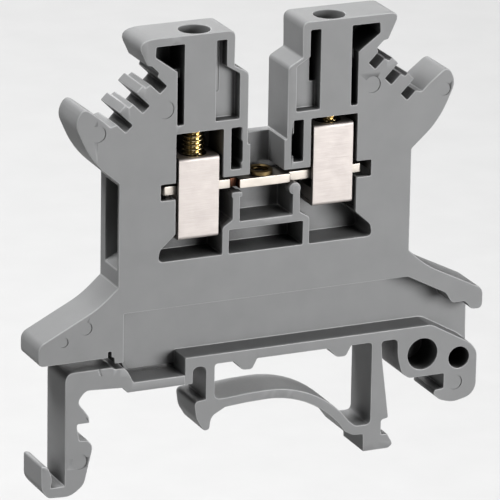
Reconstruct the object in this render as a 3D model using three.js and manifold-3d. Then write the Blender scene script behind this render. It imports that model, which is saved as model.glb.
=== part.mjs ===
// Feed-through screw terminal block for a 35 mm DIN rail, in millimetres, +Z up.
// The origin is on the plane of the rail's brims, midway between its edges and midway through the block.
// +X runs across the rail towards the fixed foot, and -Y faces the open side of the housing.
import * as THREE from 'three';
import { mergeVertices } from 'three/addons/utils/BufferGeometryUtils.js';
import Module from 'manifold-3d';

const wasm = await Module();
wasm.setup();

// Overall sizes
const WIDTH = 42.5;
const THICKNESS = 4.2;
const HEAD_TOP = 34.1;
const FRONT = -THICKNESS / 2;
const BACK = THICKNESS / 2;
const TIP = WIDTH / 2;
const PAST = 1;

// Housing walls
const BACK_WALL = 1.0;
const CAVITY_BACK = BACK - BACK_WALL;
const CAVITY_MID = (FRONT + CAVITY_BACK) / 2;
const WEB_FRONT = BACK - 1.8;
const WEB_BOTTOM = 3.55;
const SIDE = 13.85;
const RIDGE = 9.6;
const SHELF_BOTTOM = 25.3;
const SHELF_TOP = 26.1;
const CAVITY_FLOOR = 13.9;
const GAP_HALF = 1.85;
const GAP_FLOOR = 23.7;

// Heads over the clamps, and the lower and upper pairs of wings
const SHOULDER = 30.9;
const HEAD_WALL_TOP = 33.3;
const HEAD_CORNER = { left: 2.2, right: 1.0 };
const WING_LOW = 5.72;
const WING_HIGH = 7.6;

// Marker slots across a slope at 45 degrees: u runs down the slope and v out of it
const MARKER_SLOTS = 3;
const MARKER_PITCH = 2.23;
const MARKER_HALF = 0.43;
const MARKER_FIRST = -13.88;
const MARKER_BOTTOM = 27.78;
const MARKER_LEDGE = { v: 29.05, width: 0.5, rise: 0.1 };
const MARKER_TIP = 29.55;
const MARKER_LIP = { v: 30.45, reach: 0.1 };
const MARKER_REBATE = { depth: 0.35, low: 29.2, high: 30.1 };
const MARKER_LAST = 28.9;

// Rail grip: 35 mm rail, gripped between the latch and the fixed foot
const GRIP = 17.6;
const BEAM_TOP = 4.8;
const BEAM_BOTTOM = 3.85;
const BEAM_LEFT = -7.5;
const LEG_BOTTOM = -6.35;
const LATCH_TOP = 4.85;
const LATCH_BOTTOM = -6.6;
const HINGE_GAP = 0.3;
const STRIP_TOP = 3.2;
const STRIP_BOTTOM = 2.3;

// Bow spring under the beam: two radii that meet at its top
const BOW_CENTRE_X = 0.4;
const BOW_TOP_Z = 0.35;
const BOW_RIGHT_RADIUS = 9.5;
const BOW_LEFT_RADIUS = 40;
const BOW_HALF = 0.44;
const BOW_STEPS = 10;

// Blind holes in the fixed foot: centre x, centre z and radius
const FOOT_HOLES = [[15.45, 2.15, 1.45], [19.05, 1.35, 1.0]];

// Clamps, with their pockets and ways in
const CLAMP_X = 6.35;
const CLAMP_Y = CAVITY_MID;
const SCREW_PITCH = 0.4;
const CAGE = { width: 3.8, depth: 2.9, height: 7.4, wall: 0.35, roof: 1.0, saddle: 1.6, hole: 1.25 };
const CAGE_OPEN_BOTTOM = 15.6;
const CAGE_TURNS = { left: 0, right: 4 };
const SCREW = { head: 1.2, headBottom: 26.4, headTop: 28.0, thread: 1.0, tip: 20.7, slot: 0.5, slotDepth: 0.7 };
const SCREW_EDGE = { tipIn: 0.3, tipUp: 0.4, head: 0.15 };
const ACCESS = 1.4;
const SHELF_HOLE = 1.25;
const POCKET = { inner: 4.15, outer: 8.55, low: 16.25, toe: 10.15 };
const FUNNEL_MOUTH = { x: SIDE + 0.5, front: -1.75, back: 1.05, low: 13.3, high: 21.4 };
const FUNNEL_THROAT = { x: 8.4, front: -1.6, back: 0.9, low: 16.4, high: 19.3 };

// Open spaces between and under the clamps
const COLUMN_SLOT = { inner: 2.5, outer: 3.4, bottom: 21.55 };
const MIDDLE_WELL = { half: 1.6 };
const UPPER_BAY = { half: 2.5, bottom: 16.75 };
const LOWER_BAY = { half: 3.5, top: 16.05 };

// Recess in each head, the screw guide that stands in it, and the slots beside the guide
const RECESS = { depth: 1.0, inner: 2.7, step: 3.95, outer: 8.5, corner: 10.5 };
const GUIDE = { inner: 4.9, outer: 7.9 };
const INNER_SLOT = { inner: 4.3, bottom: 28.45 };
const OUTER_SLOT_TOP = 30.05;

// Current bar and the bush pressed into it
const BAR = { bottom: 19.6, top: 20.4, tipX: 9.35, tipHalf: 0.75, midX: 2.45, midHalf: 1.2 };
const BAR_CHANNEL = { half: 9.95, bottom: 19.45, top: 20.9 };
const BUSH = { outer: 1.15, inner: 0.8, bottom: 20.65, top: 21.3 };

// Facets of a round, and of a rounded corner
const ROUND = 32;
const CORNER = 6;
const MERGE = 1e-4;

// Outlines: corners are [x, z] or [x, z, rounding], drawn in the plane seen from the open side
function trace(corners) {
  const shape = new THREE.Shape();
  const count = corners.length;
  const point = (i) => new THREE.Vector2(...corners[(i + count) % count].slice(0, 2));
  for (let i = 0; i < count; i += 1) {
    const here = point(i);
    const rounding = corners[i][2] ?? 0;
    const towards = (other) => {
      const run = other.clone().sub(here);
      const length = Math.min(rounding, run.length() / 2);
      return here.clone().add(run.setLength(length));
    };
    const start = rounding ? towards(point(i - 1)) : here;
    if (i === 0) {
      shape.moveTo(start.x, start.y);
    } else {
      shape.lineTo(start.x, start.y);
    }
    if (rounding) {
      const end = towards(point(i + 1));
      shape.quadraticCurveTo(here.x, here.y, end.x, end.y);
    }
  }
  shape.closePath();
  return shape;
}

function toSolid(geometry) {
  geometry.deleteAttribute('normal');
  geometry.deleteAttribute('uv');
  const merged = mergeVertices(geometry, MERGE);
  const vertProperties = new Float32Array(merged.attributes.position.array);
  const triVerts = new Uint32Array(merged.index.array);
  return new wasm.Manifold(new wasm.Mesh({ numProp: 3, vertProperties, triVerts }));
}

function plate(corners, front, back) {
  const geometry = new THREE.ExtrudeGeometry(trace(corners), {
    depth: back - front,
    bevelEnabled: false,
    curveSegments: CORNER,
  });
  geometry.rotateX(Math.PI / 2);
  geometry.translate(0, back, 0);
  return toSolid(geometry);
}

function block(x1, x2, y1, y2, z1, z2) {
  const geometry = new THREE.BoxGeometry(x2 - x1, y2 - y1, z2 - z1);
  geometry.translate((x1 + x2) / 2, (y1 + y2) / 2, (z1 + z2) / 2);
  return toSolid(geometry);
}

function rod(x, y, z1, z2, radius) {
  const geometry = new THREE.CylinderGeometry(radius, radius, z2 - z1, ROUND);
  geometry.rotateX(Math.PI / 2);
  geometry.translate(x, y, (z1 + z2) / 2);
  return toSolid(geometry);
}

function crossRod(x, z, front, back, radius) {
  const geometry = new THREE.CylinderGeometry(radius, radius, back - front, ROUND);
  geometry.translate(x, (front + back) / 2, z);
  return toSolid(geometry);
}

function mirrored(corners) {
  return corners.map(([x, z, rounding]) => [-x, z, rounding]).reverse();
}

function addAll(solids) {
  return solids.reduce((total, next) => total.add(next));
}

function arc(centreX, centreZ, radius, fromX, toX, steps) {
  const points = [];
  for (let i = 0; i <= steps; i += 1) {
    const x = fromX + ((toX - fromX) * i) / steps;
    points.push([x, centreZ + Math.sqrt(radius ** 2 - (x - centreX) ** 2)]);
  }
  return points;
}

// Comb of marker slots on the right. Each tooth has a low ledge beside the slot above it.
function markerComb() {
  const slope = (u, v) => [(u + v) * Math.SQRT1_2, (v - u) * Math.SQRT1_2];
  const start = MARKER_FIRST - MARKER_HALF;
  const points = [
    slope(start - MARKER_LIP.reach, MARKER_LIP.v),
    slope(start - MARKER_REBATE.depth, MARKER_REBATE.high),
    slope(start - MARKER_REBATE.depth, MARKER_REBATE.low),
    slope(start, MARKER_LEDGE.v),
  ];
  for (let i = 0; i < MARKER_SLOTS; i += 1) {
    const left = MARKER_FIRST + i * MARKER_PITCH - MARKER_HALF;
    const right = left + 2 * MARKER_HALF;
    const step = right + MARKER_LEDGE.width;
    if (i > 0) {
      points.push(slope(left, MARKER_TIP));
    }
    points.push(slope(left, MARKER_BOTTOM));
    points.push(slope(right, MARKER_BOTTOM));
    if (i < MARKER_SLOTS - 1) {
      points.push(slope(right, MARKER_LEDGE.v));
      points.push(slope(step, MARKER_LEDGE.v + MARKER_LEDGE.rise));
      points.push(slope(step, MARKER_TIP));
    } else {
      points.push(slope(right, MARKER_LAST));
    }
  }
  return points;
}

// Right half of the outline, from the gap between the heads round to the lower wing's tip
function upperHalf(headCorner) {
  return [
    [GAP_HALF, GAP_FLOOR],
    [GAP_HALF, 30.15, 0.3],
    [3.2, SHOULDER, 0.15],
    [3.15, HEAD_TOP, 0.7],
    [12.45, HEAD_TOP, headCorner],
    ...markerComb(),
    [14.7, 26.62],
    [15.34, 27.26],
    [17.2, 28.7, 0.8],
    [18.0, 27.2, 0.8],
    [16.5, 23.8, 2.5],
    [SIDE, 21.45],
    [SIDE, 12.05],
    [15.7, 10.4, 1.2],
    [TIP, WING_HIGH, 0.6],
    [TIP, WING_LOW, 0.6],
  ];
}

// Full-thickness part of the housing above the web
function bodyPlate() {
  const underRight = [
    [20.2, 5.75, 0.3],
    [19.5, 6.6, 0.3],
    [18.2, 6.55, 0.4],
    [17.6, 7.6, 0.3],
    [13.8, RIDGE],
  ];
  const underLeft = [
    [-13.3, RIDGE],
    [-13.3, 5.15],
    [-14.15, 5.15],
    [-14.2, 5.75],
    [-14.45, 5.75],
    [-14.45, 6.3],
    [-14.75, 6.3],
    [-14.75, 5.75],
  ];
  const right = upperHalf(HEAD_CORNER.right);
  const left = mirrored(upperHalf(HEAD_CORNER.left));
  return plate([...right, ...underRight, ...underLeft, ...left], FRONT, BACK);
}

// Thin web between the body and the foot, set back from the open side
function webPlate() {
  const corners = [
    [-13.3, RIDGE + 0.2],
    [13.8, RIDGE + 0.2],
    [20.8, 6.3],
    [20.8, 1.6],
    [16.0, BEAM_TOP - 0.5],
    [-7.0, BEAM_TOP - 0.5],
    [-7.0, WEB_BOTTOM],
    [-11.9, WEB_BOTTOM],
    [-12.45, 4.65],
    [-12.7, 5.0],
    [-13.3, 5.15],
  ];
  return plate(corners, WEB_FRONT, BACK);
}

// Foot: beam, knob, bow spring, post and fixed rail hook, at full thickness
function footPlate() {
  const rightCentre = BOW_TOP_Z - BOW_RIGHT_RADIUS;
  const leftCentre = BOW_TOP_Z - BOW_LEFT_RADIUS;
  const lowerBow = [
    ...arc(BOW_CENTRE_X, rightCentre, BOW_RIGHT_RADIUS - BOW_HALF, 8.0, BOW_CENTRE_X, BOW_STEPS),
    ...arc(BOW_CENTRE_X, leftCentre, BOW_LEFT_RADIUS - BOW_HALF, -1.6, -3.6, 1),
  ];
  const upperBow = [
    ...arc(BOW_CENTRE_X, leftCentre, BOW_LEFT_RADIUS + BOW_HALF, -3.6, -1.6, 1),
    ...arc(BOW_CENTRE_X, rightCentre, BOW_RIGHT_RADIUS + BOW_HALF, BOW_CENTRE_X, 8.4, BOW_STEPS),
  ];
  const outer = plate([
    [BEAM_LEFT, BEAM_TOP],
    [16.3, BEAM_TOP, 0.4],
    [20.2, 2.6, 0.5],
    [20.85, 1.7, 0.4],
    [20.85, -1.7, 0.6],
    [20.2, -2.5, 0.6],
    [18.5, -2.85, 0.6],
    [17.3, -2.45, 0.3],
    [16.6, -1.85, 0.2],
    [16.75, -1.45, 0.1],
    [GRIP, -1.35],
    [GRIP, 0],
    [14.2, 0, 0.3],
    [13.4, 0.6, 0.4],
    [13.0, 2.2, 0.5],
    [12.95, BEAM_BOTTOM, 0.4],
    [11.4, BEAM_BOTTOM, 0.4],
    [11.55, 1.9],
    [12.25, -3.45, 0.2],
    [11.55, -3.6, 0.2],
    [11.55, -4.95],
    [12.15, -4.95, 0.1],
    [12.75, -6.0, 0.3],
    [12.3, LEG_BOTTOM, 0.2],
    [9.8, LEG_BOTTOM, 0.15],
    [9.75, -4.7],
    [8.8, -4.65, 0.3],
    ...lowerBow,
    [-4.95, -1.0, 0.5],
    [-5.1, -2.2, 0.3],
    [-5.65, -2.25, 0.3],
    [-6.4, -1.0, 0.4],
    [-6.6, 0.6, 0.5],
    [-5.5, 0.7],
    [-5.5, 3.8, 0.6],
    [-6.75, 3.8, 0.6],
    [-6.75, STRIP_BOTTOM],
    [BEAM_LEFT, STRIP_BOTTOM],
  ], FRONT, BACK);
  const bump = (x) => [
    [x - 0.75, BEAM_BOTTOM],
    [x + 0.1, 2.95, 0.3],
    [x + 1.0, 2.9, 0.3],
    [x + 1.5, BEAM_BOTTOM],
  ];
  const windowHole = plate([
    [-4.65, BEAM_BOTTOM, 0.3],
    ...bump(-2.1),
    ...bump(6.95),
    [10.45, BEAM_BOTTOM, 0.3],
    [10.45, -3.8, 0.5],
    [9.0, -3.8, 0.3],
    ...upperBow.reverse(),
    [-4.65, 0.6, 0.6],
  ], FRONT - PAST, BACK + PAST);
  return outer.subtract(windowHole);
}

// Pocket of one clamp and everything opening into it, on the right
function chamber() {
  return plate([
    [POCKET.inner, SHELF_BOTTOM],
    [POCKET.outer, SHELF_BOTTOM],
    [POCKET.outer, POCKET.low],
    [POCKET.toe - 0.15, 14.95, 0.3],
    [POCKET.toe, CAVITY_FLOOR, 0.5],
    [POCKET.inner, CAVITY_FLOOR],
    [POCKET.inner, 16.35, 0.3],
    [3.2, 16.95],
    [3.2, BAR_CHANNEL.top],
    [POCKET.inner, BAR_CHANNEL.top],
  ], FRONT - PAST, CAVITY_BACK);
}

// Wire entry: a funnel from the side face into the clamp
function wireFunnel() {
  const length = FUNNEL_MOUTH.x - FUNNEL_THROAT.x;
  const middle = (FUNNEL_MOUTH.x + FUNNEL_THROAT.x) / 2;
  const geometry = new THREE.BoxGeometry(length, PAST, PAST);
  geometry.translate(middle, 0, 0);
  const position = geometry.attributes.position;
  for (let i = 0; i < position.count; i += 1) {
    const end = position.getX(i) > middle ? FUNNEL_MOUTH : FUNNEL_THROAT;
    const towardsBack = position.getY(i) > 0;
    const up = position.getZ(i) > 0;
    position.setY(i, towardsBack ? end.back : end.front);
    position.setZ(i, up ? end.high : end.low);
  }
  return toSolid(geometry);
}

// Head recess with its raised screw guide, and the deep pockets beside the guide
function headRecess() {
  const start = FRONT - PAST;
  const corner = [[RECESS.corner, HEAD_WALL_TOP], [RECESS.corner + 0.05, 32.4], [RECESS.outer, SHOULDER]];
  const recess = plate([
    [RECESS.step, HEAD_WALL_TOP],
    ...corner,
    [RECESS.outer, SHELF_TOP],
    [RECESS.inner, SHELF_TOP],
    [RECESS.inner, 30.15],
    [RECESS.step, SHOULDER],
  ], start, FRONT + RECESS.depth);
  const guide = block(GUIDE.inner, GUIDE.outer, start - PAST, CAVITY_BACK, SHELF_TOP - PAST, HEAD_TOP);
  const innerSlot = block(INNER_SLOT.inner, GUIDE.inner, start, CAVITY_BACK, INNER_SLOT.bottom, HEAD_WALL_TOP);
  const outerSlot = block(GUIDE.outer, RECESS.outer, start, CAVITY_BACK, SHELF_TOP, OUTER_SLOT_TOP);
  const wedge = plate([[GUIDE.outer, HEAD_WALL_TOP], ...corner, [GUIDE.outer, SHOULDER]], start, CAVITY_BACK);
  return addAll([recess.subtract(guide), innerSlot, outerSlot, wedge]);
}

function bothSides(solid) {
  return solid.add(solid.mirror([1, 0, 0]));
}

// Bay open to the front and centred on the block
function bay(half, bottom, top) {
  return block(-half, half, FRONT - PAST, CAVITY_BACK, bottom, top);
}

function columnSlot() {
  const { inner, outer, bottom } = COLUMN_SLOT;
  return block(inner, outer, FRONT - PAST, CAVITY_BACK, bottom, SHELF_BOTTOM);
}

function housingSolid() {
  const pockets = addAll([
    bothSides(chamber()),
    bothSides(wireFunnel()),
    bothSides(headRecess()),
    bothSides(columnSlot()),
    bothSides(rod(CLAMP_X, CLAMP_Y, SHELF_TOP, HEAD_TOP + PAST, ACCESS)),
    bothSides(rod(CLAMP_X, CLAMP_Y, SHELF_BOTTOM - PAST, SHELF_TOP + PAST, SHELF_HOLE)),
    bay(BAR_CHANNEL.half, BAR_CHANNEL.bottom, BAR_CHANNEL.top),
    bay(MIDDLE_WELL.half, BAR_CHANNEL.bottom, GAP_FLOOR + PAST),
    bay(UPPER_BAY.half, UPPER_BAY.bottom, BAR_CHANNEL.top),
    bay(LOWER_BAY.half, CAVITY_FLOOR, LOWER_BAY.top),
    ...FOOT_HOLES.map(([x, z, radius]) => crossRod(x, z, FRONT - PAST, CAVITY_BACK, radius)),
  ]);
  return addAll([bodyPlate(), webPlate(), footPlate()]).subtract(pockets);
}

// Rail latch: it swings outwards about the middle of its thin strip
function latchSolid() {
  return plate([
    [BEAM_LEFT - HINGE_GAP, STRIP_TOP],
    [-12.35, STRIP_TOP],
    [-12.9, 4.3, 0.3],
    [-13.3, 4.65],
    [-14.1, 4.65],
    [-14.4, LATCH_TOP],
    [-18.75, LATCH_TOP, 0.9],
    [-18.75, -5.55],
    [-20.05, -5.55],
    [-19.9, -4.7, 0.4],
    [-20.3, -3.6, 0.3],
    [-20.95, -3.4, 0.3],
    [-20.95, -5.6, 0.4],
    [-20.3, -6.5, 0.4],
    [-18.2, LATCH_BOTTOM, 0.6],
    [-16.95, -5.7, 0.5],
    [-16.1, -2.2, 0.5],
    [-16.6, -1.6, 0.1],
    [-17.4, -1.5],
    [-GRIP, -0.3, 0.2],
    [-GRIP, 0],
    [-16.45, 0, 0.1],
    [-16.5, 0.6, 0.3],
    [-17.6, 2.05, 0.5],
    [-16.8, 3.0, 0.4],
    [-13.3, 2.8],
    [-12.9, STRIP_BOTTOM],
    [BEAM_LEFT - HINGE_GAP, STRIP_BOTTOM],
  ], FRONT, BACK);
}

function barSolid() {
  const tips = block(-BAR.tipX, BAR.tipX, CLAMP_Y - BAR.tipHalf, CLAMP_Y + BAR.tipHalf, BAR.bottom, BAR.top);
  const middle = block(-BAR.midX, BAR.midX, CLAMP_Y - BAR.midHalf, CLAMP_Y + BAR.midHalf, BAR.bottom, BAR.top);
  const screwWay = rod(0, CLAMP_Y, BAR.bottom - PAST, BAR.top + PAST, BUSH.inner);
  return tips.add(middle).subtract(screwWay);
}

function bushSolid() {
  const ring = rod(0, CLAMP_Y, BUSH.bottom, BUSH.top, BUSH.outer);
  return ring.subtract(rod(0, CLAMP_Y, BUSH.bottom - PAST, BUSH.top + PAST, BUSH.inner));
}

// Clamp cage: a box of folded sheet, open across X, with a tapped roof and a raised saddle
function cageSolid(x, bottom) {
  const halfWidth = CAGE.width / 2;
  const halfDepth = CAGE.depth / 2;
  const inside = halfDepth - CAGE.wall;
  const top = bottom + CAGE.height;
  const outer = block(x - halfWidth, x + halfWidth, CLAMP_Y - halfDepth, CLAMP_Y + halfDepth, bottom, top);
  const opening = block(
    x - halfWidth - PAST,
    x + halfWidth + PAST,
    CLAMP_Y - inside,
    CLAMP_Y + inside,
    bottom + CAGE.saddle,
    top - CAGE.roof,
  );
  return outer.subtract(opening).subtract(rod(x, CLAMP_Y, top - CAGE.roof - PAST, top + PAST, CAGE.hole));
}

// Clamp screw: slotted head in the guide, shank through the cage, tip over the bar
function screwSolid(x) {
  const profile = [
    [0, SCREW.tip],
    [SCREW.thread - SCREW_EDGE.tipIn, SCREW.tip],
    [SCREW.thread, SCREW.tip + SCREW_EDGE.tipUp],
    [SCREW.thread, SCREW.headBottom],
    [SCREW.head, SCREW.headBottom],
    [SCREW.head, SCREW.headTop - SCREW_EDGE.head],
    [SCREW.head - SCREW_EDGE.head, SCREW.headTop],
    [0, SCREW.headTop],
  ];
  const geometry = new THREE.LatheGeometry(profile.map(([r, z]) => new THREE.Vector2(r, z)), ROUND);
  geometry.rotateX(Math.PI / 2);
  geometry.translate(x, CLAMP_Y, 0);
  const slotFloor = SCREW.headTop - SCREW.slotDepth;
  const slot = block(
    x - SCREW.head - PAST,
    x + SCREW.head + PAST,
    CLAMP_Y - SCREW.slot / 2,
    CLAMP_Y + SCREW.slot / 2,
    slotFloor,
    SCREW.headTop + PAST,
  );
  return toSolid(geometry).subtract(slot);
}

function toMesh(name, solid, material) {
  const { vertProperties, triVerts } = solid.getMesh();
  const geometry = new THREE.BufferGeometry();
  geometry.setAttribute('position', new THREE.BufferAttribute(new Float32Array(vertProperties), 3));
  geometry.setIndex(new THREE.BufferAttribute(new Uint32Array(triVerts), 1));
  geometry.computeVertexNormals();
  const mesh = new THREE.Mesh(geometry, material);
  mesh.name = name;
  return mesh;
}

const polyamide = () => new THREE.MeshStandardMaterial({ color: 0x8f9091, roughness: 0.6, metalness: 0 });
const plated = () => new THREE.MeshStandardMaterial({ color: 0xe6ded2, roughness: 0.3, metalness: 1 });
const yellowSteel = () => new THREE.MeshStandardMaterial({ color: 0xd2ab55, roughness: 0.35, metalness: 1 });

const group = new THREE.Group();
group.add(toMesh('housing', housingSolid(), polyamide()));
group.add(toMesh('rail_latch', latchSolid(), polyamide()));
group.add(toMesh('current_bar', barSolid(), plated()));
group.add(toMesh('bridge_bush', bushSolid(), yellowSteel()));
for (const [side, sign] of [['left', -1], ['right', 1]]) {
  const lift = CAGE_TURNS[side] * SCREW_PITCH;
  group.add(toMesh(`clamp_cage_${side}`, cageSolid(sign * CLAMP_X, CAGE_OPEN_BOTTOM + lift), plated()));
  group.add(toMesh(`clamp_screw_${side}`, screwSolid(sign * CLAMP_X), yellowSteel()));
}

export default group;
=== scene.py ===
"""Feed-through screw terminal block for a 35 mm DIN rail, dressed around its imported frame.

Shapes are worked out in millimetres in the frame's own axes: +X across the rail towards the fixed
foot, -Y towards the open side of the housing and +Z away from the rail. They are scaled to metres
last.
"""

import math

import bmesh
import bpy
from mathutils import Matrix, Vector


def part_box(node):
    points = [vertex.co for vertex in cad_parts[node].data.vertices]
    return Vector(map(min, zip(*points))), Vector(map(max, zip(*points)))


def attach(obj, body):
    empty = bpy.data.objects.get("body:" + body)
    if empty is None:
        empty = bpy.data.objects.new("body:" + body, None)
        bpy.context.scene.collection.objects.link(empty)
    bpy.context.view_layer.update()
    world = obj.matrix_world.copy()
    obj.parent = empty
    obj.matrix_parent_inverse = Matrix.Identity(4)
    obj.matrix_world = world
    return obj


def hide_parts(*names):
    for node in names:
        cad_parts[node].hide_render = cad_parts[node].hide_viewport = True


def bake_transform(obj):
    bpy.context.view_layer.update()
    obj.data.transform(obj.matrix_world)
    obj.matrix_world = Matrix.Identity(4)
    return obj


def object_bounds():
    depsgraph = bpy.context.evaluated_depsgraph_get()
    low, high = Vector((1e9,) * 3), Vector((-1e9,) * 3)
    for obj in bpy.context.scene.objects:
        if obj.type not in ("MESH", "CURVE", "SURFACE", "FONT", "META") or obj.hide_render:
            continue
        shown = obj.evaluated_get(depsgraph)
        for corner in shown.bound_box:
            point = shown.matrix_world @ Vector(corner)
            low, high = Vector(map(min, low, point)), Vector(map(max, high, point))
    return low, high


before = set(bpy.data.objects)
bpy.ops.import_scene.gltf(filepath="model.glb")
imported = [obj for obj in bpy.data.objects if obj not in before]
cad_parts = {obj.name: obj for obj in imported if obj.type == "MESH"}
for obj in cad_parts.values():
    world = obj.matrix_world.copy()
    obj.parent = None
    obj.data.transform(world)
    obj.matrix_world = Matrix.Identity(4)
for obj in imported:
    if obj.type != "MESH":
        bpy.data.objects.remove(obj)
cad_low, cad_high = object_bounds()

MM = 0.001
X, Y, Z = range(3)

# How far a cutting shape runs past the surface that it cuts
PAST = 0.5

# Camera: it looks at the aim point from this bearing, height and distance
AIM = Vector((-2.43, -4.168, 14.772)) * MM
AZIMUTH = -24.153
ELEVATION = 18.838
ROLL = 0.9375
DISTANCE = 467.137 * MM
LENS = 389.22
SENSOR = 36.0
NEAREST = 0.01
FARTHEST = 10

# Light and floor
FLOOR_DROP = 22 * MM
FLOOR_SIZE = 1.5
AMBIENT = 0.07
PAPER = 0.64
PAPER_SPREAD = 0.01
PAPER_ROUGHNESS = 0.9
PAPER_FIBRE = 6
SOFTBOXES = {
    "overhead": {"way": (-0.36, 0.10, 0.93), "distance": 0.6, "size": 0.30, "power": 5.0},
    "front": {"way": (0.50, -0.865, 0.05), "distance": 0.6, "size": 0.36, "power": 5.25},
    "rear": {"way": (0.25, 0.95, 0.2), "distance": 0.8, "size": 0.5, "power": 2.4},
}

# Edge rounding, and the bend above which an edge counts as sharp
MOULDED_EDGE = 0.09
STAMPED_EDGE = 0.05
EDGE_SEGMENTS = 2
SHARP = math.radians(32)

# Welding of the CAD meshes, the bend that counts as flat, and the gap that a cell line needs
WELD = 1e-4
FLAT = math.radians(1)
CELL_GAP = 0.24
LEVEL_DIGITS = 3

# A face whose normal is at least this much along y is shaded flat
FACING = 0.9999

# Outside faces of the housing, the floor of its pockets and the floor of the heads' recesses
FRONT = cad_low.y / MM
BACK = cad_high.y / MM
CAVITY_BACK = BACK - 1.0
RECESS_FLOOR = FRONT + 1.0

# Marks left by the mould's ejector pins: centre x, centre z and radius
MARK_DEPTH = 0.08
BLOCK_MARKS = [
    (-15.85, 26.14, 0.75), (-9.6, 27.65, 0.8), (-16.86, 8.73, 0.6), (-18.92, 7.71, 0.45),
    (9.93, 27.77, 0.75), (16.89, 26.61, 0.6), (18.72, -0.95, 0.7),
]
LATCH_MARKS = [(-17.36, -3.47, 0.7)]
BACK_MARKS = [
    (-11.0, 30.0, 0.9), (11.0, 30.0, 0.9), (-11.5, 12.2, 0.9), (11.5, 12.2, 0.9),
    (0.0, 18.5, 0.9), (0.0, 8.0, 0.7), (17.6, 7.0, 0.6), (-17.6, 7.0, 0.6),
]

# Small widening of the right inner pocket towards the middle; the left one mirrors it
BULGE = [(2.35, 22.2), (2.35, 24.0), (2.6, 24.25), (2.6, 21.95)]
BULGE_CLEARANCE = 0.05

# Heads of the two posts beside the middle pocket: a cap on the left one, a knob on the right one
CAP = ((-3.3, 18.95), (-2.28, 19.42))
CAP_CORNER = 0.12
KNOB = (2.7, 19.1, 0.56)
KNOB_FACETS = 24
POST_HEAD_SUNK = 0.01
POST_HEAD_DEPTH = 1.0

# Latch: the strip bends over this length, and its end runs into the beam
STRIP_END = -7.8
STRIP_ROOT = -7.45
STRIP_TOLERANCE = 0.01
BEND_START = -7.6
BEND_END = -12.4
BEND_SECTIONS = 12
LATCH_GROOVE = [(-15.72, 4.95), (-15.58, 4.95), (-15.34, 4.3), (-15.46, 4.26)]
LATCH_GROOVE_DEPTH = 0.12

# Left head's inner slot, closed up to the recess floor, and the web's corner beside the latch
SLOT_FILLER = ((-4.88, 28.5), (-4.32, 33.25))
SLOT_FILLER_SUNK = 0.1
WEB_FILLER = [
    (-11.8, 3.57), (-12.2, 3.57), (-12.5, 4.25), (-12.66, 4.6), (-13.06, 4.98), (-13.3, 5.17),
    (-11.8, 5.2),
]
WEB_FILLER_FRONT = BACK - 1.78
WEB_FILLER_BACK = BACK - 0.02

# Turned pieces and their threads
FACETS = 40
PITCH = 0.4
CREST = 0.12
RINGS_PER_PITCH = 8

# Clamp screw: rings of its tip are (radius, rise), and the seat is the underside of its head
SCREW_RADIUS = 1.0
SCREW_THREAD_DEPTH = 0.2
TIP_RINGS = [(0.5, 0), (0.62, 0.05), (0.72, 0.18)]
TIP_LENGTH = 0.4
NECK_RADIUS = 0.86
NECK_LENGTH = 0.25
RUNOUT_LENGTH = 0.35
SEAT = 26.4
SEAT_CHAMFER = 0.08
CROWN = 0.2
CROWN_SHOULDER = 0.06
SLOT_HALF = 0.25
SLOT_DEPTH = 0.7
SLOT_CORNER = 0.1

# Bridge bush: its bore is also the hole in the bar, and its top is lower than the CAD's
BORE = 0.8
BUSH_THREAD_DEPTH = 0.12
BUSH_SUNK = 0.4
RIM_CHAMFER = 0.12

# Clamp cage, folded from strip
SHEET = 0.35
SADDLE = 1.6
ROOF = 1.0
BEND_RADIUS = 0.32
BEND_STEPS = 6
INSIDE_RADIUS = 0.12
ROOF_THREAD = 1.24
ROOF_THREAD_DEPTH = 0.16
ROOF_THREAD_PAST = 0.1
SEAM = 0.06
SEAM_DEPTH = 0.1
BACK_SEAM_MARGIN = 0.5
TEETH = 5
TOOTH_PITCH = 0.56
TOOTH_DEPTH = 0.16
TOOTH_PAST = 0.01
TOOTH_MARGIN = 0.02

# Current bar: half widths of its middle and its ends, its corners, and the notch by its middle
BAR_MIDDLE = 2.45
TIP_HALF = 0.75
BAR_CORNER = 0.15
BAR_STEP = 0.1
NOTCH = {"from": -3.08, "to": -2.45, "floor": -0.5, "lip": 0.06, "corner": 0.1, "bare_in_shade": 0.08}

# Range over which noise is spread, and range of openness over which the painted shade in hollows
# takes the colour from dark to full
NOISE_RANGE = (0.3, 0.7)
OPEN_RANGE = (0.16, 0.55)
OPEN_SAMPLES = 12

# Sizes of clouds and grains, how far the clouds change the colour, and the reach of the shadows
# painted into the colour in hollows
POLYAMIDE = {
    "cloud": 2.6, "mottle": (0.96, 1.04), "grain": 0.07, "detail": 2.0,
    "depth": 0.008, "strength": 0.6, "shadow": 0.03, "reach": 3.2,
}
METAL = {"cloud": 1.2, "mottle": (0.94, 1.04), "reach": 1.5}


# ---------------------------------------------------------------- mesh tools

def slice_mesh(made, place, normal):
    """Cuts every face of a bmesh that crosses a plane, and keeps both sides."""
    everything = made.verts[:] + made.edges[:] + made.faces[:]
    return bmesh.ops.bisect_plane(made, geom=everything, plane_co=place, plane_no=normal)


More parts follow.
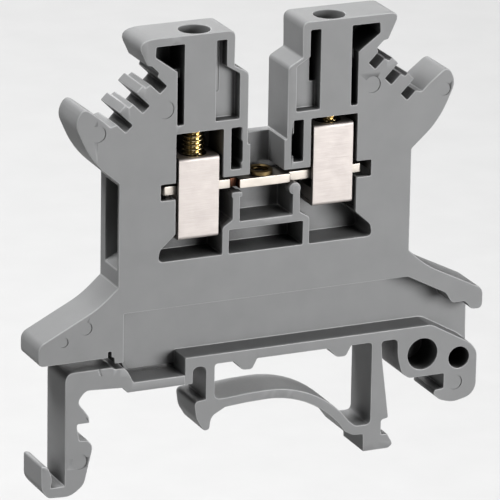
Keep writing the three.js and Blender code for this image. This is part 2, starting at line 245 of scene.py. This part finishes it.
def cad_copy(node):
    """The mesh of a CAD node as a bmesh in millimetres, with its flat triangles joined into cells.

    The cells are cut midway between corners, in x and in z, so no cell has a hole or a narrow neck.
    """
    made = bmesh.new()
    made.from_mesh(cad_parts[node].data)
    bmesh.ops.scale(made, vec=(1 / MM,) * 3, verts=made.verts)
    bmesh.ops.remove_doubles(made, verts=made.verts, dist=WELD)
    for axis in (X, Z):
        levels = sorted({round(vert.co[axis], LEVEL_DIGITS) for vert in made.verts})
        normal = Vector([float(index == axis) for index in range(3)])
        for low, high in zip(levels, levels[1:]):
            if high - low > CELL_GAP:
                cut = slice_mesh(made, normal * (low + high) / 2, normal)
                for item in cut["geom_cut"]:
                    if isinstance(item, bmesh.types.BMEdge):
                        item.seam = True
    bmesh.ops.dissolve_limit(
        made, angle_limit=FLAT, verts=made.verts, edges=made.edges, delimit={"SEAM"})
    return made


def cad_box(node):
    """Lowest and highest corner of a CAD node, in millimetres."""
    low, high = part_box(node)
    return low / MM, high / MM


def new_object(name, made, *materials):
    """A linked object with this bmesh, still in millimetres, and these materials."""
    mesh = bpy.data.meshes.new(name)
    for material in materials:
        mesh.materials.append(material)
    bmesh.ops.recalc_face_normals(made, faces=made.faces)
    made.to_mesh(mesh)
    made.free()
    obj = bpy.data.objects.new(name, mesh)
    bpy.context.scene.collection.objects.link(obj)
    return obj


def apply_modifiers(obj):
    """Puts what the object's modifiers make into its own mesh."""
    graph = bpy.context.evaluated_depsgraph_get()
    mesh = bpy.data.meshes.new_from_object(obj.evaluated_get(graph))
    old = obj.data
    obj.modifiers.clear()
    obj.data = mesh
    bpy.data.meshes.remove(old)


def discard(obj):
    """Removes an object and its mesh."""
    mesh = obj.data
    bpy.data.objects.remove(obj)
    bpy.data.meshes.remove(mesh)


def carve(obj, made):
    """Cuts the shells of a bmesh out of the object."""
    tool = new_object("tool", made)
    change = obj.modifiers.new("carve", "BOOLEAN")
    change.operation = "DIFFERENCE"
    change.solver = "EXACT"
    change.object = tool
    apply_modifiers(obj)
    discard(tool)


def absorb(obj, other):
    """Moves the other object's shells into this one."""
    made = bmesh.new()
    made.from_mesh(obj.data)
    made.from_mesh(other.data)
    made.to_mesh(obj.data)
    made.free()
    discard(other)


def soften(obj, width):
    """Rounds every sharp edge by this width; the rounding gets the object's last material."""
    bevel = obj.modifiers.new("edges", "BEVEL")
    bevel.width = width
    bevel.segments = EDGE_SEGMENTS
    bevel.limit_method = "ANGLE"
    bevel.angle_limit = SHARP
    bevel.use_clamp_overlap = False
    bevel.miter_outer = "MITER_ARC"
    bevel.material = len(obj.data.materials) - 1
    apply_modifiers(obj)


def rounded(corners, steps=4):
    """A closed outline from corners that are (a, b, rounding)."""
    outline = []
    count = len(corners)
    for index, corner in enumerate(corners):
        here = Vector(corner[:2])
        rounding = corner[2]
        if not rounding:
            outline.append(here)
            continue
        ends = []
        for other in (corners[index - 1], corners[(index + 1) % count]):
            run = Vector(other[:2]) - here
            ends.append(here + run.normalized() * min(rounding, run.length / 2))
        for step in range(steps + 1):
            t = step / steps
            outline.append(ends[0] * (1 - t) ** 2 + here * (2 * t * (1 - t)) + ends[1] * t ** 2)
    return outline


def rectangle(low, high, rounding=0, steps=4):
    """A closed rectangle between its lowest and its highest corner, rounded where asked."""
    (left, bottom), (right, top) = low, high
    corners = ((left, bottom), (right, bottom), (right, top), (left, top))
    return rounded([(*corner, rounding) for corner in corners], steps)


def prism(made, outline, axis, low, high):
    """Adds a closed prism along an axis; the outline is in the other two axes, in x, y, z order."""
    def place(point, along):
        values = list(point)
        values.insert(axis, along)
        return made.verts.new(values)

    near = [place(point, low) for point in outline]
    far = [place(point, high) for point in outline]
    made.faces.new(near)
    made.faces.new(far[::-1])
    for index in range(len(outline)):
        after = (index + 1) % len(outline)
        made.faces.new((near[after], near[index], far[index], far[after]))


def ring_outline(x, z, radius, steps=FACETS):
    """A closed circle about a centre."""
    turns = [2 * math.pi * index / steps for index in range(steps)]
    return [(x + radius * math.cos(turn), z + radius * math.sin(turn)) for turn in turns]


def turned(made, x, y, rings, closed=False):
    """Adds a solid turned about a vertical axis; a ring is (radius, z, depth of thread cut off it).

    The ends are capped to a centre point, or joined to each other if the section is closed.
    """
    loops = []
    for radius, z, thread in rings:
        loop = []
        for index in range(FACETS):
            part = index / FACETS
            phase = (z / PITCH - part) % 1
            groove = max(0.0, 1 - abs(2 * phase - 1) - CREST) / (1 - CREST)
            reach = radius - thread * groove
            turn = 2 * math.pi * part
            place = (x + reach * math.cos(turn), y + reach * math.sin(turn), z)
            loop.append(made.verts.new(place))
        loops.append(loop)
    pairs = list(zip(loops, loops[1:]))
    if closed:
        pairs.append((loops[-1], loops[0]))
    for lower, upper in pairs:
        for index in range(FACETS):
            after = (index + 1) % FACETS
            made.faces.new((lower[index], lower[after], upper[after], upper[index]))
    if not closed:
        for loop, ring in ((loops[0], rings[0]), (loops[-1], rings[-1])):
            centre = made.verts.new((x, y, ring[1]))
            for index in range(FACETS):
                made.faces.new((centre, loop[index], loop[(index + 1) % FACETS]))


def threaded(radius, low, high, depth):
    """Rings of a thread between two heights, fading out over a pitch at each end."""
    count = round((high - low) / PITCH * RINGS_PER_PITCH)
    rings = []
    for index in range(count + 1):
        z = low + (high - low) * index / count
        fade = min(1.0, (z - low) / PITCH, (high - z) / PITCH)
        rings.append((radius, z, depth * fade))
    return rings


def shade(obj):
    """Smooth shading, but flat on the flat front and back faces and broken at sharp edges."""
    mesh = obj.data
    for face in mesh.polygons:
        face.use_smooth = abs(face.normal.y) < FACING
    mesh.set_sharp_from_angle(angle=SHARP)
    weighted = obj.modifiers.new("normals", "WEIGHTED_NORMAL")
    weighted.keep_sharp = True


def finish_piece(obj, node):
    """Scales a piece to metres, keeps it in the CAD's box and hides its CAD node, which it shows in
    place of.
    """
    obj.data.transform(Matrix.Scale(MM, 4))
    for vert in obj.data.vertices:
        limits = zip(vert.co, cad_low, cad_high)
        vert.co = [min(max(value, low), high) for value, low, high in limits]
    shade(obj)
    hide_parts(node)


# ---------------------------------------------------------------- materials

def add_node(tree, kind, inputs, **settings):
    """A shader node; an input is a value or another node's output."""
    made = tree.nodes.new(kind)
    for name, value in settings.items():
        setattr(made, name, value)
    for name, value in inputs.items():
        if isinstance(value, bpy.types.NodeSocket):
            tree.links.new(value, made.inputs[name])
        else:
            made.inputs[name].default_value = value
    return made


def noise(tree, grain, detail=3.0):
    """Noise with grains of this size in millimetres along x, y and z."""
    place = add_node(tree, "ShaderNodeTexCoord", {})
    scale = tuple(1 / (size * MM) for size in grain)
    mapped = add_node(tree, "ShaderNodeMapping", {
        "Vector": place.outputs["Object"],
        "Scale": scale,
    })
    made = add_node(tree, "ShaderNodeTexNoise", {
        "Vector": mapped.outputs[0],
        "Scale": 1.0,
        "Detail": detail,
    })
    return made.outputs["Fac"]


def spread(tree, value, source, target):
    """The value moved from one range to another, kept inside it."""
    made = add_node(tree, "ShaderNodeMapRange", {
        "Value": value,
        "From Min": source[0],
        "From Max": source[1],
        "To Min": target[0],
        "To Max": target[1],
    })
    return made.outputs["Result"]


def bump(tree, height, depth, strength=1.0):
    """A normal bent by a height that stands this many millimetres deep."""
    made = add_node(tree, "ShaderNodeBump", {
        "Height": height,
        "Distance": depth * MM,
        "Strength": strength,
    })
    return made.outputs["Normal"]


def painted_shade_colour(tree, colour, mottle, shadow, reach):
    """The colour, mottled, with painted shade: darkened where the surroundings within reach close
    it in.
    """
    # Painted shade: openness from ambient occlusion darkens the colour in pockets, creases and
    # recesses
    ao = add_node(
        tree, "ShaderNodeAmbientOcclusion", {"Distance": reach * MM}, samples=OPEN_SAMPLES)
    painted_shade_factor = spread(tree, ao.outputs["AO"], OPEN_RANGE, (shadow, 1.0))
    both = add_node(tree, "ShaderNodeMath", {0: mottle, 1: painted_shade_factor}, operation="MULTIPLY")
    scaled = add_node(tree, "ShaderNodeVectorMath", {
        "Vector": colour,
        "Scale": both.outputs[0],
    }, operation="SCALE")
    return scaled.outputs["Vector"]


def start_material(name, metallic):
    """A new material, its node tree and its shader."""
    material = bpy.data.materials.new(name)
    material.use_nodes = True
    shader = material.node_tree.nodes["Principled BSDF"]
    shader.inputs["Metallic"].default_value = metallic
    return material, material.node_tree, shader


def polyamide(name, colour, roughness):
    """Polyamide with a fine spark-eroded grain and shade painted into its colour in hollows."""
    material, tree, shader = start_material(name, metallic=0.0)
    cloud = noise(tree, (POLYAMIDE["cloud"],) * 3)
    grain = noise(tree, (POLYAMIDE["grain"],) * 3, POLYAMIDE["detail"])
    mottle = spread(tree, cloud, NOISE_RANGE, POLYAMIDE["mottle"])
    base = painted_shade_colour(tree, colour, mottle, POLYAMIDE["shadow"], POLYAMIDE["reach"])
    tree.links.new(base, shader.inputs["Base Color"])
    tree.links.new(spread(tree, grain, NOISE_RANGE, roughness), shader.inputs["Roughness"])
    relief = bump(tree, grain, POLYAMIDE["depth"], POLYAMIDE["strength"])
    tree.links.new(relief, shader.inputs["Normal"])
    return material


def metal(name, colour, roughness, streaks, depth, shadow):
    """Plated metal: streaks are the sizes of its rolling or turning marks along x, y and z; shadow
    is the darkest factor of the shade painted into its colour in hollows.
    """
    material, tree, shader = start_material(name, metallic=1.0)
    marks = noise(tree, streaks)
    cloud = noise(tree, (METAL["cloud"],) * 3)
    mottle = spread(tree, cloud, NOISE_RANGE, METAL["mottle"])
    base = painted_shade_colour(tree, colour, mottle, shadow, METAL["reach"])
    tree.links.new(base, shader.inputs["Base Color"])
    tree.links.new(spread(tree, marks, NOISE_RANGE, roughness), shader.inputs["Roughness"])
    tree.links.new(bump(tree, marks, depth), shader.inputs["Normal"])
    return material


GREY = polyamide("grey_polyamide", colour=(0.232, 0.234, 0.236), roughness=(0.48, 0.60))
# Lighter, glossier copy of the polyamide for the edge roundings: a painted highlight along the rims
GREY_EDGE_HIGHLIGHT = polyamide(
    "grey_polyamide_painted_highlight", colour=(0.33, 0.332, 0.335), roughness=(0.36, 0.46))
PLATE = metal(
    "plated_steel", colour=(0.407, 0.374, 0.356), roughness=(0.44, 0.62),
    streaks=(1.6, 1.6, 0.05), depth=0.006, shadow=0.5)
TIN = metal(
    "tinned_copper", colour=(0.44, 0.405, 0.365), roughness=(0.36, 0.54),
    streaks=(1.4, 0.06, 0.06), depth=0.004, shadow=0.4)
# Bare copper of the notch's cut faces, darkened far below copper's own colour: painted shade in the
# notch
COPPER_IN_SHADE = metal(
    "bare_copper_painted_shade", colour=(0.09, 0.04, 0.025), roughness=(0.4, 0.55),
    streaks=(0.06, 0.06, 0.6), depth=0.008, shadow=0.3)
YELLOW = metal(
    "yellow_steel", colour=(0.68, 0.54, 0.30), roughness=(0.10, 0.17),
    streaks=(0.3, 0.3, 0.03), depth=0.003, shadow=0.15)
# Brass darkened far below its own colour: painted shade on the bush deep in the middle pocket
BRASS_IN_SHADE = metal(
    "yellow_brass", colour=(0.17, 0.12, 0.055), roughness=(0.28, 0.4),
    streaks=(0.4, 0.4, 0.03), depth=0.003, shadow=0.15)


# ---------------------------------------------------------------- pieces

def sink_marks(obj, marks, surface, into):
    """Round ejector marks in a flat face at this y; into is +1 or -1, the way into the material."""
    made = bmesh.new()
    for x, z, radius in marks:
        ends = sorted((surface - into * PAST, surface + into * MARK_DEPTH))
        prism(made, ring_outline(x, z, radius), Y, *ends)
    carve(obj, made)


def housing():
    """Housing moulding with ejector marks and the heads of its two small posts."""
    obj = new_object("housing_moulding", cad_copy("housing"), GREY, GREY_EDGE_HIGHLIGHT)
    hollows = bmesh.new()
    for side in (-1, 1):
        bulge = [(side * x, z) for x, z in BULGE]
        prism(hollows, bulge, Y, FRONT - PAST, CAVITY_BACK - BULGE_CLEARANCE)
    carve(obj, hollows)
    soften(obj, MOULDED_EDGE)
    sink_marks(obj, BLOCK_MARKS, FRONT, 1)
    sink_marks(obj, BACK_MARKS, BACK, -1)
    heads = bmesh.new()
    for outline in (rectangle(*CAP, CAP_CORNER), ring_outline(*KNOB, KNOB_FACETS)):
        prism(heads, outline, Y, FRONT + POST_HEAD_SUNK, FRONT + POST_HEAD_DEPTH)
    post_heads = new_object("post_heads", heads, GREY, GREY_EDGE_HIGHLIGHT)
    soften(post_heads, MOULDED_EDGE)
    absorb(obj, post_heads)
    fillers = bmesh.new()
    prism(fillers, rectangle(*SLOT_FILLER), Y, RECESS_FLOOR, CAVITY_BACK + SLOT_FILLER_SUNK)
    prism(fillers, WEB_FILLER, Y, WEB_FILLER_FRONT, WEB_FILLER_BACK)
    absorb(obj, new_object("fillers", fillers, GREY))
    finish_piece(obj, "housing")
    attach(obj, "block")


def latch():
    """Rail latch whose strip is cut into sections along its bending length."""
    made = cad_copy("rail_latch")
    for vert in made.verts:
        if abs(vert.co.x - STRIP_END) < STRIP_TOLERANCE:
            vert.co.x = STRIP_ROOT
    obj = new_object("rail_latch_moulding", made, GREY, GREY_EDGE_HIGHLIGHT)
    groove = bmesh.new()
    prism(groove, LATCH_GROOVE, Y, FRONT - PAST, FRONT + LATCH_GROOVE_DEPTH)
    carve(obj, groove)
    soften(obj, MOULDED_EDGE)
    sink_marks(obj, LATCH_MARKS, FRONT, 1)
    sections = bmesh.new()
    sections.from_mesh(obj.data)
    for index in range(BEND_SECTIONS + 1):
        x = BEND_START + (BEND_END - BEND_START) * index / BEND_SECTIONS
        slice_mesh(sections, (x, 0, 0), (1, 0, 0))
    sections.to_mesh(obj.data)
    sections.free()
    finish_piece(obj, "rail_latch")
    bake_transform(obj)


def cage(side):
    """Box of folded strip, open across X, with a tapped roof and a toothed saddle."""
    node = f"clamp_cage_{side}"
    low, high = cad_box(node)
    middle = (low + high) / 2
    near, far = low.y + SHEET, high.y - SHEET
    floor = low.z + SADDLE
    ceiling = high.z - ROOF

    made = bmesh.new()
    section = rectangle((low.y, low.z), (high.y, high.z), BEND_RADIUS, BEND_STEPS)
    prism(made, section, X, low.x, high.x)
    obj = new_object(f"clamp_cage_{side}_strip", made, PLATE)
    opening = bmesh.new()
    window = rectangle((near, floor), (far, ceiling), INSIDE_RADIUS)
    prism(opening, window, X, low.x - PAST, high.x + PAST)
    carve(obj, opening)

    cuts = bmesh.new()
    for index in range(TEETH):
        x = middle.x + (index - (TEETH - 1) / 2) * TOOTH_PITCH
        groove = [
            (x - TOOTH_DEPTH, floor + TOOTH_PAST),
            (x + TOOTH_DEPTH, floor + TOOTH_PAST),
            (x, floor - TOOTH_DEPTH),
        ]
        prism(cuts, groove, Y, near + TOOTH_MARGIN, far - TOOTH_MARGIN)
    for end in (low.x, high.x):
        for height in (low.z + SHEET, high.z - SHEET):
            seam = rectangle((end - SEAM_DEPTH, height), (end + SEAM_DEPTH, height + SEAM))
            prism(cuts, seam, Y, near, far)
    back_seam = rectangle(
        (middle.x - SEAM / 2, high.y - SEAM_DEPTH), (middle.x + SEAM / 2, high.y + PAST))
    prism(cuts, back_seam, Z, low.z + BACK_SEAM_MARGIN, high.z - BACK_SEAM_MARGIN)
    carve(obj, cuts)
    soften(obj, STAMPED_EDGE)

    tap = bmesh.new()
    ends = (ceiling - ROOF_THREAD_PAST, high.z + ROOF_THREAD_PAST)
    turned(tap, middle.x, middle.y, threaded(ROOF_THREAD, *ends, ROOF_THREAD_DEPTH))
    carve(obj, tap)
    finish_piece(obj, node)
    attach(obj, f"cage_{side}")


def screw(side):
    """Slotted cheese-head screw with a rolled thread."""
    node = f"clamp_screw_{side}"
    low, high = cad_box(node)
    middle = (low + high) / 2
    head = high.x - middle.x
    shank = threaded(SCREW_RADIUS, low.z + TIP_LENGTH, SEAT - RUNOUT_LENGTH, SCREW_THREAD_DEPTH)
    rings = [
        *[(radius, low.z + rise, 0) for radius, rise in TIP_RINGS],
        *shank,
        (NECK_RADIUS, SEAT - NECK_LENGTH, 0),
        (NECK_RADIUS, SEAT, 0),
        (head - SEAT_CHAMFER, SEAT, 0),
        (head, SEAT + SEAT_CHAMFER, 0),
        (head, high.z - CROWN, 0),
        (head - CROWN_SHOULDER, high.z - CROWN_SHOULDER, 0),
        (head - CROWN, high.z, 0),
    ]
    made = bmesh.new()
    turned(made, middle.x, middle.y, rings)
    obj = new_object(f"clamp_screw_{side}_threaded", made, YELLOW)
    slot = bmesh.new()
    bottom = (middle.y - SLOT_HALF, high.z - SLOT_DEPTH)
    top = (middle.y + SLOT_HALF, high.z + PAST)
    prism(slot, rectangle(bottom, top, SLOT_CORNER), X, low.x - PAST, high.x + PAST)
    carve(obj, slot)
    finish_piece(obj, node)
    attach(obj, f"screw_{side}")


def bar():
    """Stamped current bar with a widened middle and a notch beside it."""
    low, high = cad_box("current_bar")
    y = (low.y + high.y) / 2
    near, far = y - TIP_HALF, y + TIP_HALF
    outline = [
        (low.x, near, BAR_CORNER),
        (NOTCH["from"], near, NOTCH["lip"]),
        (NOTCH["from"], y + NOTCH["floor"], NOTCH["corner"]),
        (NOTCH["to"], y + NOTCH["floor"], NOTCH["corner"]),
        (NOTCH["to"], low.y, BAR_CORNER),
        (BAR_MIDDLE, low.y, BAR_CORNER),
        (BAR_MIDDLE, near, BAR_STEP),
        (high.x, near, BAR_CORNER),
        (high.x, far, BAR_CORNER),
        (BAR_MIDDLE, far, BAR_STEP),
        (BAR_MIDDLE, high.y, BAR_CORNER),
        (-BAR_MIDDLE, high.y, BAR_CORNER),
        (-BAR_MIDDLE, far, BAR_STEP),
        (low.x, far, BAR_CORNER),
    ]
    made = bmesh.new()
    prism(made, rounded(outline), Z, low.z, high.z)
    obj = new_object("current_bar_stamping", made, COPPER_IN_SHADE, TIN)
    hole = bmesh.new()
    turned(hole, 0, y, [(BORE, low.z - PAST, 0), (BORE, high.z + PAST, 0)])
    carve(obj, hole)
    soften(obj, STAMPED_EDGE)
    finish_piece(obj, "current_bar")
    # The notch's faces get the bare copper with painted shade, the rest gets the tin
    for face in obj.data.polygons:
        centre = face.center / MM
        beside = NOTCH["from"] - NOTCH["bare_in_shade"] < centre.x < NOTCH["to"] + NOTCH["bare_in_shade"]
        bare_in_shade = beside and centre.y < y - TIP_HALF / 4
        face.material_index = 0 if bare_in_shade else 1
    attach(obj, "block")


def bush():
    """Tapped bush pressed onto the bar."""
    low, high = cad_box("bridge_bush")
    high.z -= BUSH_SUNK
    middle = (low + high) / 2
    outer = high.x - middle.x
    base = cad_box("current_bar")[1].z
    inside = threaded(BORE, base + RIM_CHAMFER, high.z - RIM_CHAMFER, -BUSH_THREAD_DEPTH)
    rings = [
        (BORE + RIM_CHAMFER, base, 0),
        (outer - RIM_CHAMFER / 2, base, 0),
        (outer, base + RIM_CHAMFER / 2, 0),
        (outer, high.z - RIM_CHAMFER, 0),
        (outer - RIM_CHAMFER, high.z, 0),
        (BORE + RIM_CHAMFER, high.z, 0),
        *inside[::-1],
    ]
    made = bmesh.new()
    turned(made, middle.x, middle.y, rings, closed=True)
    obj = new_object("bridge_bush_tapped", made, BRASS_IN_SHADE)
    finish_piece(obj, "bridge_bush")
    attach(obj, "block")


housing()
latch()
for side in ("left", "right"):
    cage(side)
    screw(side)
bar()
bush()


# ---------------------------------------------------------------- studio

def studio():
    """Dim white surroundings, three round softboxes and a pale floor."""
    world = bpy.data.worlds.new("studio")
    bpy.context.scene.world = world
    world.use_nodes = True
    background = world.node_tree.nodes["Background"]
    background.inputs["Color"].default_value = (1, 1, 1, 1)
    background.inputs["Strength"].default_value = AMBIENT

    for name, box in SOFTBOXES.items():
        lamp = bpy.data.lights.new(name, "AREA")
        lamp.shape = "DISK"
        lamp.size = box["size"]
        lamp.energy = box["power"]
        obj = bpy.data.objects.new(name, lamp)
        way = Vector(box["way"]).normalized()
        obj.location = (cad_low + cad_high) / 2 + way * box["distance"]
        obj.rotation_mode = "QUATERNION"
        obj.rotation_quaternion = (-way).to_track_quat("-Z", "Y")
        bpy.context.scene.collection.objects.link(obj)

    made = bmesh.new()
    bmesh.ops.create_grid(made, x_segments=1, y_segments=1, size=FLOOR_SIZE)
    floor = new_object("floor", made)
    floor.location.z = cad_low.z - FLOOR_DROP
    paper, tree, shader = start_material("paper", metallic=0.0)
    shader.inputs["Roughness"].default_value = PAPER_ROUGHNESS
    shades = (PAPER - PAPER_SPREAD, PAPER + PAPER_SPREAD)
    fibres = spread(tree, noise(tree, (PAPER_FIBRE,) * 3), NOISE_RANGE, shades)
    tree.links.new(fibres, shader.inputs["Base Color"])
    floor.data.materials.append(paper)
    floor.visible_diffuse = False


def camera():
    """The photo's camera: a long lens, turned towards the aim point and rolled a little."""
    lens = bpy.data.cameras.new("camera")
    lens.lens = LENS
    lens.sensor_width = SENSOR
    lens.clip_start = NEAREST
    lens.clip_end = FARTHEST
    obj = bpy.data.objects.new("camera", lens)
    azimuth, elevation = math.radians(AZIMUTH), math.radians(ELEVATION)
    back = Vector((
        math.sin(azimuth) * math.cos(elevation),
        -math.cos(azimuth) * math.cos(elevation),
        math.sin(elevation),
    ))
    obj.location = AIM + back * DISTANCE
    level = (-back).to_track_quat("-Z", "Y")
    roll = Matrix.Rotation(math.radians(ROLL), 3, "Z").to_quaternion()
    obj.rotation_mode = "QUATERNION"
    obj.rotation_quaternion = level @ roll
    bpy.context.scene.collection.objects.link(obj)
    bpy.context.scene.camera = obj


studio()
camera()
bpy.context.scene.view_settings.view_transform = "Standard"
